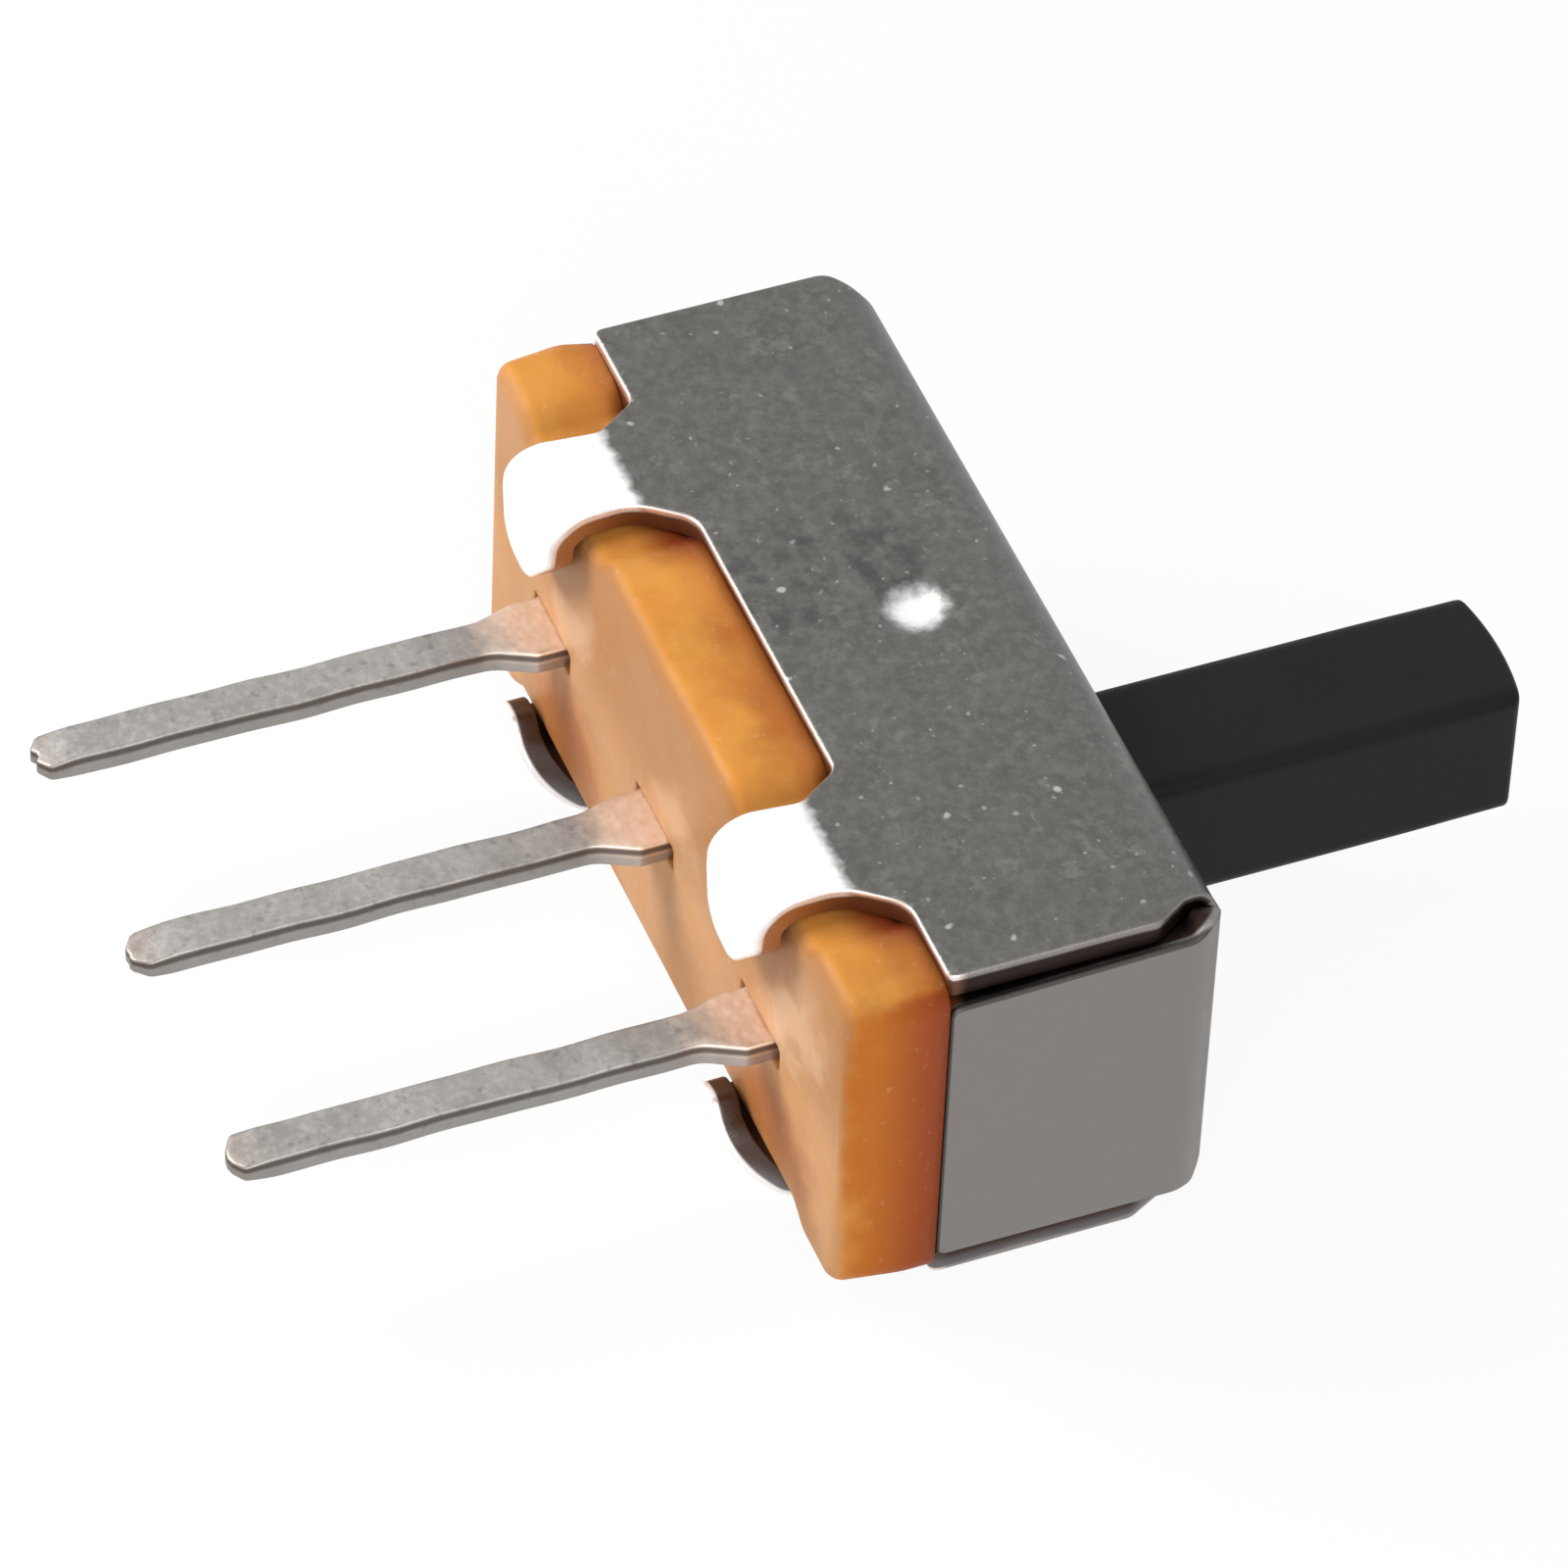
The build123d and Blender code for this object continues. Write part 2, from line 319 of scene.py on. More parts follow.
class Signal:
    """A shader socket that takes part in arithmetic, and makes other nodes of its tree."""

    def __init__(self, tree, socket=None):
        self.tree = tree
        self.socket = socket

    def node(self, kind, settings=None, sockets=None, output=0):
        """Adds a node: its settings first, then the values or links of its sockets."""
        made = self.tree.nodes.new(kind)
        for key, value in (settings or {}).items():
            setattr(made, key, value)
        for key, value in (sockets or {}).items():
            if isinstance(value, Signal):
                self.tree.links.new(value.socket, made.inputs[key])
            else:
                made.inputs[key].default_value = value
        return None if output is None else Signal(self.tree, made.outputs[output])

    def maths(self, operation, *values):
        """A Math node on these values or signals."""
        return self.node(
            "ShaderNodeMath", {"operation": operation}, dict(enumerate(values))
        )

    def __add__(self, other):
        return self.maths("ADD", self, other)

    def __sub__(self, other):
        return self.maths("SUBTRACT", self, other)

    def __rsub__(self, other):
        return self.maths("SUBTRACT", other, self)

    def __mul__(self, other):
        return self.maths("MULTIPLY", self, other)

    def __truediv__(self, other):
        return self.maths("DIVIDE", self, other)

    __radd__ = __add__
    __rmul__ = __mul__

    def __abs__(self):
        return self.maths("ABSOLUTE", self)

    def root(self):
        """The square root."""
        return self.maths("SQRT", self)

    def most(self, other):
        """The larger of two signals."""
        return self.maths("MAXIMUM", self, other)

    def between(self, low, high):
        """0 at low and 1 at high, smoothly."""
        return self.node(
            "ShaderNodeMapRange",
            {"interpolation_type": "SMOOTHSTEP"},
            {"Value": self, "From Min": low, "From Max": high},
        )

    def noise(self, scale, detail=2.0, roughness=0.5):
        """Noise on this vector; scale is in waves for each millimetre."""
        return self.node(
            "ShaderNodeTexNoise",
            None,
            {"Vector": self, "Scale": scale / MM, "Detail": detail, "Roughness": roughness},
        )

    def place(self):
        """Where the shaded point lies, as a vector in metres."""
        return self.node("ShaderNodeTexCoord", output="Object")

    def depth(self):
        """How deep the shaded point lies under the front face: 0 at the front, 1 at the back."""
        return self.node("ShaderNodeAttribute", {"attribute_name": "depth"}, output="Fac")

    def stretched(self, x, y, z):
        """This vector, stretched along each axis."""
        return self.node("ShaderNodeMapping", None, {"Vector": self, "Scale": (x, y, z)})

    def part(self, axis):
        """One axis of this vector, in millimetres."""
        parts = self.node("ShaderNodeSeparateXYZ", None, {"Vector": self}, output=axis)
        return parts * (1 / MM)

    def mix(self, low, high):
        """A colour between two, by this signal."""
        low, high = (c if isinstance(c, Signal) else (*c, 1.0) for c in (low, high))
        return self.node(
            "ShaderNodeMix", {"data_type": "RGBA"}, {"Factor": self, 6: low, 7: high}, output=2
        )

    def bump(self, strength, distance):
        """A normal from this signal as height; the distance is in millimetres."""
        return self.node(
            "ShaderNodeBump",
            None,
            {"Height": self, "Strength": strength, "Distance": distance * MM},
        )


def finish(name, **constants):
    """A new material: the start of its tree, and its shader with the constants set."""
    material = bpy.data.materials.new(name)
    material.use_nodes = True
    tree = material.node_tree
    shader = tree.nodes["Principled BSDF"]
    for key, value in constants.items():
        shader.inputs[key.replace("_", " ")].default_value = value
    start = Signal(tree)
    return material, start, shader


def feed(start, shader, **signals):
    """Links varying signals to the shader's sockets."""
    for key, value in signals.items():
        start.tree.links.new(value.socket, shader.inputs[key.replace("_", " ")])


def tint(colour, share):
    """A colour with each channel multiplied by the same share."""
    return tuple(c * share for c in colour)


def put_on(piece, material):
    """Gives a piece one material."""
    piece.data.materials.clear()
    piece.data.materials.append(material)


# ---- Settings ----


def length(name, description, default):
    """A size in the settings, given in millimetres and kept in metres."""
    return FloatProperty(
        name=name, description=description, default=default * MM, unit="LENGTH",
        precision=5, min=0.0,
    )


def colour(name, description, default):
    """A colour in the settings."""
    return FloatVectorProperty(
        name=name, description=description, default=default, subtype="COLOR",
        size=3, min=0.0, max=1.0,
    )


class CaseSettings(bpy.types.PropertyGroup):
    """Sizes and colours of the folded case."""

    sheet: length("Sheet", "Thickness of the steel sheet", 0.25)
    bend: length("Bend", "Outside radius of the four bends round the top plate", 0.42)
    tab_bend: length("Tab bend", "Outside radius of the tabs' bend over the base", 0.4)
    tab_reach: length("Tab reach", "From the outside of the wall to a tab's tip", 0.98)
    dimple: length("Dimple", "Radius of the detent dimple", 0.36)
    dimple_depth: length("Dimple depth", "Depth of the detent dimple", 0.1)
    wall: colour("Wall", "Dull plated steel of the long walls", (0.136, 0.131, 0.124))
    # The end walls' lighter colour is a painted reflection.
    end: colour("End wall", "Smoother plating of the end walls", (0.238, 0.221, 0.213))
    # The bright colour is partly real burnish and mostly painted highlight: it paints the tabs near
    # white and the glint on the dimple.
    bright: colour("Burnished", "Steel burnished by the crimping tool", (0.95, 0.945, 0.94))


class BaseSettings(bpy.types.PropertyGroup):
    """Sizes and colours of the moulded base."""

    edge: length("Edge", "Rounding of the edges round the seat", 0.17)
    lip: length("Lip", "Rounding of the terminal slots", 0.03)
    flare: length("Flare", "How much longer the flange grows towards the case", 0.07)
    resin: colour("Resin", "Moulded resin", (0.62, 0.25, 0.045))
    # The seat's paler colour is a painted sheen.
    seat: colour("Seat", "The paler skin of the seat", (0.57, 0.29, 0.125))
    shade: colour("Shade", "Resin in the shade of the case", (0.28, 0.045, 0.01))


class TerminalSettings(bpy.types.PropertyGroup):
    """Sizes and colour of the stamped terminals."""

    pin: length("Pin", "Width of a pin", 0.41)
    shoulder: length("Shoulder", "How far the shoulder stands out of the seat", 0.24)
    flare: length("Flare", "Length over which the pin widens into the shoulder", 0.36)
    tin: colour("Tin", "Dull tin plating", (0.335, 0.322, 0.307))


class SliderSettings(bpy.types.PropertyGroup):
    """Sizes and colour of the slider."""

    lever_width: length("Lever width", "Lever along the travel", 1.36)
    lever_thickness: length("Lever thickness", "Lever across the travel", 1.44)
    edge: length("Edge", "Rounding of the lever's long edges", 0.07)
    crown: length("Crown", "Crown of the lever's end face", 0.08)
    channel: length("Channel", "Width of the channel under the carriage", 1.1)
    lever_drop: length("Lever drop", "Lever below the middle of the case's width", 0.09)
    black: colour("Black", "Black moulding", (0.0065, 0.0068, 0.0078))


class StageSettings(bpy.types.PropertyGroup):
    """Camera, floor and light."""

    azimuth: FloatProperty(
        name="Azimuth", description="Camera's turn round the switch",
        default=math.radians(66.33), subtype="ANGLE",
    )
    elevation: FloatProperty(
        name="Elevation", description="Camera's height over the floor",
        default=math.radians(45.79), subtype="ANGLE",
    )
    roll: FloatProperty(
        name="Roll", description="Camera's roll", default=math.radians(2.83), subtype="ANGLE",
    )
    distance: length("Distance", "From the camera to its target", 100.1)
    lens: FloatProperty(
        name="Lens", description="Focal length", default=263.7, unit="CAMERA", min=1.0,
    )
    target: FloatVectorProperty(
        name="Target", description="The point that the camera looks at",
        default=(-0.369 * MM, -0.894 * MM, 1.5 * MM), subtype="XYZ", unit="LENGTH",
        precision=5,
    )
    fill: FloatProperty(
        name="Fill", description="Strength of the sky on dull surfaces", default=0.34, min=0.0,
    )


# ---- The case ----


def folded(past, radius, depth):
    """How far forward and how far down a folded sheet goes, from its fold line.

    Flat before the fold line, then a quarter circle of the sheet's outside radius less
    the depth in the sheet, then straight down.
    """
    arc = radius * QUARTER
    angle = np.clip(past, 0, arc) / radius
    forward = np.minimum(past, 0) + (radius - depth) * np.sin(angle)
    down = radius - (radius - depth) * np.cos(angle) + np.maximum(past - arc, 0)
    return forward, down


DIMPLE_Y = 0.09  # the dimple's middle, in front of the travel's middle
# Rows of a corner relief: (how far past the fold line, b, radius).
HIGH_RELIEF = (
    (0.6, 1.59, 0.2), (0.36, 1.69, 0.14), (0.17, 1.65, 0.1), (0.02, 1.5, 0.08),
    (0.05, 1.74, 0.15), (0.14, 2.04, 0.15),
)
LOW_RELIEF = (
    (0.4, 1.54, 0.05), (0.26, 1.41, 0.1), (0.07, 1.41, 0.12), (-0.05, 1.63, 0.12),
    (-0.02, 1.72, 0.08),
)
FAR_RELIEF = (
    (0.3, 1.52, 0.1), (0.12, 1.44, 0.06), (0, 1.55, 0.06), (0.06, 1.75, 0.15),
    (0.19, 1.9, 0.3),
)
CRUMB = (0.55, 0.54, 0.53)
FINE_CRUMB = (0.5, 0.49, 0.48)
# Colours of the bright sheared band, painted as a highlight: pinkish as a painted reflection of the
# resin, whiter at the far end.
SHEARED_NEAR_HIGHLIGHT, SHEARED_FAR_HIGHLIGHT = (0.88, 0.76, 0.7), (1.0, 0.93, 0.9)
# Colours of the cut edges' fracture band and of the inside of the case. The fracture band is duller
# steel; these colours darken it as painted shade: near black in general, dark red on the front
# edge, dark brown on the lower wall and grey on the end walls.
TORN_WALL_SHADE, FRONT_EDGE_RED_SHADE = (0.035, 0.022, 0.018), (0.11, 0.03, 0.01)
# On the tabs the fracture band is painted orange as a painted reflection of the resin.
TAB_EDGE_RESIN_REFLECTION, LOW_EDGE_SHADE = (0.34, 0.12, 0.035), (0.04, 0.016, 0.008)
# Near the floor the fracture band is painted lighter as painted light.
FLOOR_LIT_EDGE, END_EDGE_SHADE = (0.15, 0.14, 0.15), (0.11, 0.105, 0.1)
# Painted shade on the end walls' rim.
END_RIM_SHADE = (0.07, 0.065, 0.06)


class Blank:
    """The flat steel blank: a lies along the case, b across it, from the top plate's middle."""

    edge = 0.04
    half_slot, half_open = 1.78, 0.82

    def __init__(self, given):
        self.sheet, self.bend = given.sheet / MM, given.bend / MM
        self.dimple, self.dimple_depth = given.dimple / MM, given.dimple_depth / MM
        self.middle = (CASE_LOW[2] + CASE_HIGH[2]) / 2
        self.top, half_width = CASE_HIGH[1], (CASE_HIGH[2] - CASE_LOW[2]) / 2
        half_length = CASE_HIGH[0]
        self.fold_a, self.fold_b = half_length - self.bend, half_width - self.bend
        self.arc = self.bend * QUARTER
        open_y = -self.top
        wall = self.top - self.bend - open_y
        self.tab_bend = given.tab_bend / MM
        self.tab_arc = self.tab_bend * QUARTER
        self.tab_fold_y = CASE_LOW[1] + self.tab_bend
        flank = open_y - self.tab_fold_y
        self.tab_long = flank + self.tab_arc + given.tab_reach / MM - self.tab_bend
        self.open_b = self.fold_b + self.arc + wall
        self.end_a = self.fold_a + self.arc + wall
        self.tab_b = self.open_b + flank
        self.leaf_b = self.tab_b + self.tab_arc - self.tab_bend
        self.dimple_b = self.fold_b + self.arc + (self.top - self.bend) - DIMPLE_Y
        self.wall_end = half_length - 0.1

    def place(self, a, b, depth):
        """A point of the blank, folded: a quarter circle past each fold line, then down.

        Past the wall's open edge a tab bends once more, over the base.  The dimple is
        (1 - squared distance over squared radius) to the power 1.5, pressed inwards.
        """
        side, turn = np.sign(a), np.sign(b)
        forward, down = folded(np.abs(b) - self.fold_b, self.bend, depth)
        curl = np.clip(np.abs(b) - self.tab_b, 0, self.tab_arc) / self.tab_bend
        leaf = np.maximum(np.abs(b) - self.tab_b - self.tab_arc, 0)
        on_tab = np.abs(b) > self.tab_b
        inner = self.tab_bend - depth
        down = np.where(on_tab, self.top - self.tab_fold_y + inner * np.sin(curl), down)
        forward = np.where(
            on_tab, self.bend - self.tab_bend + inner * np.cos(curl) - leaf, forward
        )
        press = (a ** 2 + (b - self.dimple_b) ** 2) / self.dimple ** 2
        cap = np.clip(1 - press, 0, 1) ** 1.5
        on_wall = b > self.fold_b + self.arc
        forward = forward - np.where(on_wall, cap * self.dimple_depth, 0)
        long_side = np.column_stack((
            a, self.top - down, self.middle + turn * (self.fold_b + forward)
        ))
        forward, down = folded(np.abs(a) - self.fold_a, self.bend, depth)
        end_side = np.column_stack((
            side * (self.fold_a + forward), self.top - down, self.middle + b
        ))
        split = self.fold_b + 0.1 + 0.9 * (np.abs(a) - self.fold_a)
        on_end = (np.abs(a) > self.fold_a) & (np.abs(b) < split)
        on_long = (np.abs(b) > self.fold_b) & ~on_end
        return np.where(on_long[:, None], long_side, end_side)

    def corner(self, first, relief, last):
        """A slit corner, from the end wall's open edge through a relief to the long wall's.

        A row of the relief is (how far past the fold line, b, radius).
        """
        return np.array([
            (self.end_a, *first),
            *((self.fold_a + past, b, radius) for past, b, radius in relief),
            (self.wall_end, *last),
            (self.wall_end, self.open_b, 0.08),
        ])

    def tab(self, centre, far):
        """An upper crimp tab: a narrow neck on the wall and a wide rounded leaf."""
        open_b, tab_b, leaf_b = self.open_b, self.tab_b, self.leaf_b
        return [
            (centre + 0.94, open_b, 0.32),
            (centre + 0.6, open_b + 0.44, 0.5),
            (centre + 0.63, tab_b + 0.3, 0.3),
            (centre + 0.6, leaf_b + 0.56, 0.24),
            (centre + 0.1, leaf_b + 1.14, 0.3),
            (centre - 0.44, leaf_b + 1.08, 0.34),
            (centre - 0.52, leaf_b + 0.5, 0.3),
            (centre + far - 0.04, tab_b, 0.3),
            (centre + far, open_b + 0.4, 0.2),
            (centre + far - 0.26, open_b, 0.12),
        ]

    def low_tab(self, centre):
        """A lower crimp tab: shorter, with a slanted tip."""
        return [
            (centre + 0.9, self.open_b, 0.2),
            (centre + 0.62, self.tab_b, 0.3),
            (centre - 0.2, self.leaf_b + 0.56, 0.14),
            (centre - 0.5, self.leaf_b + 0.52, 0.2),
            (centre - 0.6, self.tab_b, 0.3),
            (centre - 0.6, self.open_b, 0.2),
        ]

    def outline(self):
        """Once round the blank: the upper wall from the near end, then the lower wall back."""
        near, far = CRIMP_TABS
        high = self.corner((1.53, 0.09), HIGH_RELIEF, (2.34, 0.08))
        far_high = self.corner((1.5, 0.09), FAR_RELIEF, (2.06, 0.4))
        low = self.corner((1.53, 0.1), LOW_RELIEF, (2.38, 0.1))
        tabs = np.array(self.tab(near, -0.46) + self.tab(far, -0.34))
        low_tabs = np.array(self.low_tab(near) + self.low_tab(far))
        upper = np.vstack((high, tabs, far_high[::-1] * (-1, 1, 1)))
        lower = np.vstack((low, low_tabs, low[::-1] * (-1, 1, 1)))[::-1] * (1, -1, 1)
        return set_in(rounded(np.vstack((upper, lower)), 0.05), self.edge)

    def slot(self):
        """The hole in the top plate that the lever slides in."""
        half_slot, half_open, lever = self.half_slot, self.half_open, LEVER_Z - self.middle
        corners = [
            (-half_slot, lever - half_open, 0.17),
            (-half_slot, lever + half_open, 0.17),
            (half_slot, lever + half_open, 0.17),
            (half_slot, lever - half_open, 0.17),
        ]
        return set_in(rounded(corners, 0.05), self.edge)

    def lines(self):
        """Grid lines: close together at the dimple and in the bends, wider elsewhere."""
        fine, coarse, dimple_b = 0.055, 0.14, self.dimple_b
        wall_a, wall_b = self.fold_a + self.arc, self.fold_b + self.arc
        leaf = self.tab_b + self.tab_arc
        half_a = lines_between(
            (0, 0.45, 0.04), (0.45, self.fold_a, coarse), (self.fold_a, wall_a, fine),
            (wall_a, self.end_a, coarse),
        )
        half_b = lines_between(
            (0, self.fold_b, coarse), (self.fold_b, wall_b, fine),
            (wall_b, dimple_b - 0.42, coarse), (dimple_b - 0.42, dimple_b + 0.42, 0.04),
            (dimple_b + 0.42, self.open_b, coarse), (self.open_b, self.tab_b, coarse),
            (self.tab_b, leaf, fine), (leaf, self.open_b + self.tab_long, coarse),
        )
        return [np.unique(np.concatenate((-half, half))) for half in (half_a, half_b)]


class SLIDE_OT_case(bpy.types.Operator):
    """Folds the steel case from its flat blank, with slot, dimple, reliefs and crimp tabs"""

    bl_idname = "slide_switch.case"
    bl_label = "Case"

    def execute(self, context):
        given = context.scene.slide_switch_case
        blank = Blank(given)
        rim = rim_rows(blank.sheet, blank.edge, 0.02)
        piece = slab("folded_case", [blank.outline(), blank.slot()], [rim, rim],
                     blank.lines(), 0.025, blank.place)
        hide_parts("case")
        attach(piece, "housing")
        put_on(piece, self.plating(given))
        return {"FINISHED"}

    def face(self, given, at, mottle, grain):
        """The plated face: mottled walls with a stain and crumbs, and end walls painted lighter as
        a painted reflection.
        """
        x, y, z = at.part(0), at.part(1), at.part(2)
        wall, end = given.wall, given.end
        dull = mottle.mix(tint(wall, 0.88), tint(wall, 1.04))
        dull = (grain * 0.6).mix(dull, tint(wall, 1.5))
        spot = at.noise(4.2, 3.0, 0.7).between(0.58, 0.68)
        dull = (spot * 0.5).mix(dull, tint(wall, 1.7))
        # Painted reflection: the end walls take a lighter copy of the plating.
        smooth = (grain * 0.3).mix(end, tint(end, 1.12))
        face = abs(x).between(4.1, 4.2).mix(dull, smooth)
        upper = z.between(3.4, 3.6)
        stain = at.noise(4.0, 2.0, 0.6).between(0.44, 0.66) * (1 - x.between(-0.3, 0.2))
        stain = stain * x.between(-1.6, -1.0) * (1 - y.between(0.2, 0.6)) * upper
        face = (stain * 0.55).mix(face, tint(wall, 0.45))
        crumb = at.noise(6.0, 0.0).between(0.8, 0.88)
        fine = at.noise(13.0, 0.0).between(0.77, 0.86)
        face = (crumb * upper * 0.8).mix(face, CRUMB)
        return (fine * upper * 0.5).mix(face, FINE_CRUMB)

    def torn_band_shade(self, y, z, burnish_and_highlight, front_edge, on_end):
        """The fracture band's colour, painted shade: it changes with the side of the case that the
        edge is on.
        """
        torn_band_shade = front_edge.mix(TORN_WALL_SHADE, FRONT_EDGE_RED_SHADE)
        # Painted reflection: on the tabs the fracture band takes the orange of the resin.
        torn_band_shade = (burnish_and_highlight * y.between(-1.6, -2.3)).mix(torn_band_shade, TAB_EDGE_RESIN_REFLECTION)
        torn_band_shade = z.between(1.2, 0.6).mix(torn_band_shade, LOW_EDGE_SHADE)
        # Painted light: the fracture band near the floor is lighter, as if lit from it.
        torn_band_shade = z.between(0.25, 0.05).mix(torn_band_shade, FLOOR_LIT_EDGE)
        return on_end.mix(torn_band_shade, END_EDGE_SHADE)

    def plating(self, given):
        """Dull mottled plating, with lighter end walls that are a painted reflection, and tabs that
        are partly burnished and painted near white as a painted highlight, as is a glint on the
        dimple.

        Depth in the sheet tells the face from its cut edge: a bright sheared band next to
        the face, partly painted highlight, and a darker fracture band under it, whose colours
        are mostly painted shade, as is the inside of the case.
        """
        material, start, shader = finish("plated_steel_finish")
        at, depth = start.place(), start.depth()
        x, y, z = at.part(0), at.part(1), at.part(2)
        mottle = at.noise(2.2, 4.0, 0.65).between(0.3, 0.7)
        grain = at.noise(9.0, 4.0, 0.75).between(0.35, 0.7)
        ragged = at.noise(7.0, 3.0, 0.6) - 0.5
        base = self.face(given, at, mottle, grain)
        off = y - DIMPLE_Y
        from_dimple = (x * x + off * off).root()
        # Painted highlight: a glint on the dimple.
        glint = (from_dimple + ragged * 0.2).between(0.34, 0.1) * z.between(3.2, 3.4)
        base = glint.mix(base, given.bright)
        # Partly real burnish, mostly painted highlight: the tabs are painted near white.
        burnish_and_highlight = (y + ragged * 0.14).between(-1.61, -1.75)
        base = burnish_and_highlight.mix(base, given.bright)
        on_end = abs(x).between(4.16, 4.2)
        front_edge = y.between(-1.1, -1.24)
        reach = 0.16 + at.noise(0.8, 2.0).between(0.4, 0.7) * 0.1 + x.between(-3.0, -3.3) * 0.14
        # The sheared band is real, and painted as a highlight: strong on the front edge only, weak
        # on the other edges and the tabs.
        sheared = depth.between(0.02, 0.07) * (1 - (depth - reach).between(0.0, 0.1))
        sheared = sheared * (0.12 + front_edge * 0.88) * (1 - burnish_and_highlight * 0.75)
        cut = x.between(-2.6, -3.3).mix(SHEARED_NEAR_HIGHLIGHT, SHEARED_FAR_HIGHLIGHT)
        base = (sheared * (1 - on_end * 0.85)).mix(base, cut)
        # Painted shade: the fracture band and the whole inner face of the sheet take the colours
        # above.
        inner = (depth - reach).between(0.02, 0.16)
        base = inner.mix(base, self.torn_band_shade(y, z, burnish_and_highlight, front_edge, on_end))
        # Painted shade: past the front of the end walls, their rounded rim, cut edge and inner face
        # are darkened.
        base = (on_end * depth.between(0.0, 0.02)).mix(base, END_RIM_SHADE)
        rough = 0.34 + mottle * 0.06 + grain * 0.06 - burnish_and_highlight * 0.12
        height = grain * 0.5 + at.noise(2.5, 2.0) * 0.5
        # Metallic drops on the tabs so that the lamps light their painted highlight whiter, and on
        # the front edge's fracture band so that its painted red shade shows.
        feed(
            start, shader, Base_Color=base, Roughness=rough,
            Metallic=(1 - burnish_and_highlight * 0.45) * (1 - inner * front_edge),
            Normal=height.bump(0.22, 0.01),
        )
        return material


# ---- The base ----


SLOT_GAP = 0.01  # round a terminal in its slot
FLOW, RICH = (0.72, 0.36, 0.08), (0.42, 0.185, 0.06)
LOW_TAB_SHADE, BESIDE_TAB_SHADE = (0.4, 0.125, 0.03), (0.17, 0.022, 0.006)
# Painted reflections of the pins: pale streaks on the seat.
PIN_REFLECTION = (0.72, 0.46, 0.29)
GRIT = (0.85, 0.7, 0.5)
# Painted shade: a darker, redder tint for the base's near end face.
END_FACE_SHADE_TINT = (0.86, 0.62, 0.25)  # the end face over the resin
PIN_REFLECTIONS = ((-2.7, 1.3, 0.5), (-0.2, 0.9, 0.4), (2.3, 1.9, 0.65))  # root, reach, amount


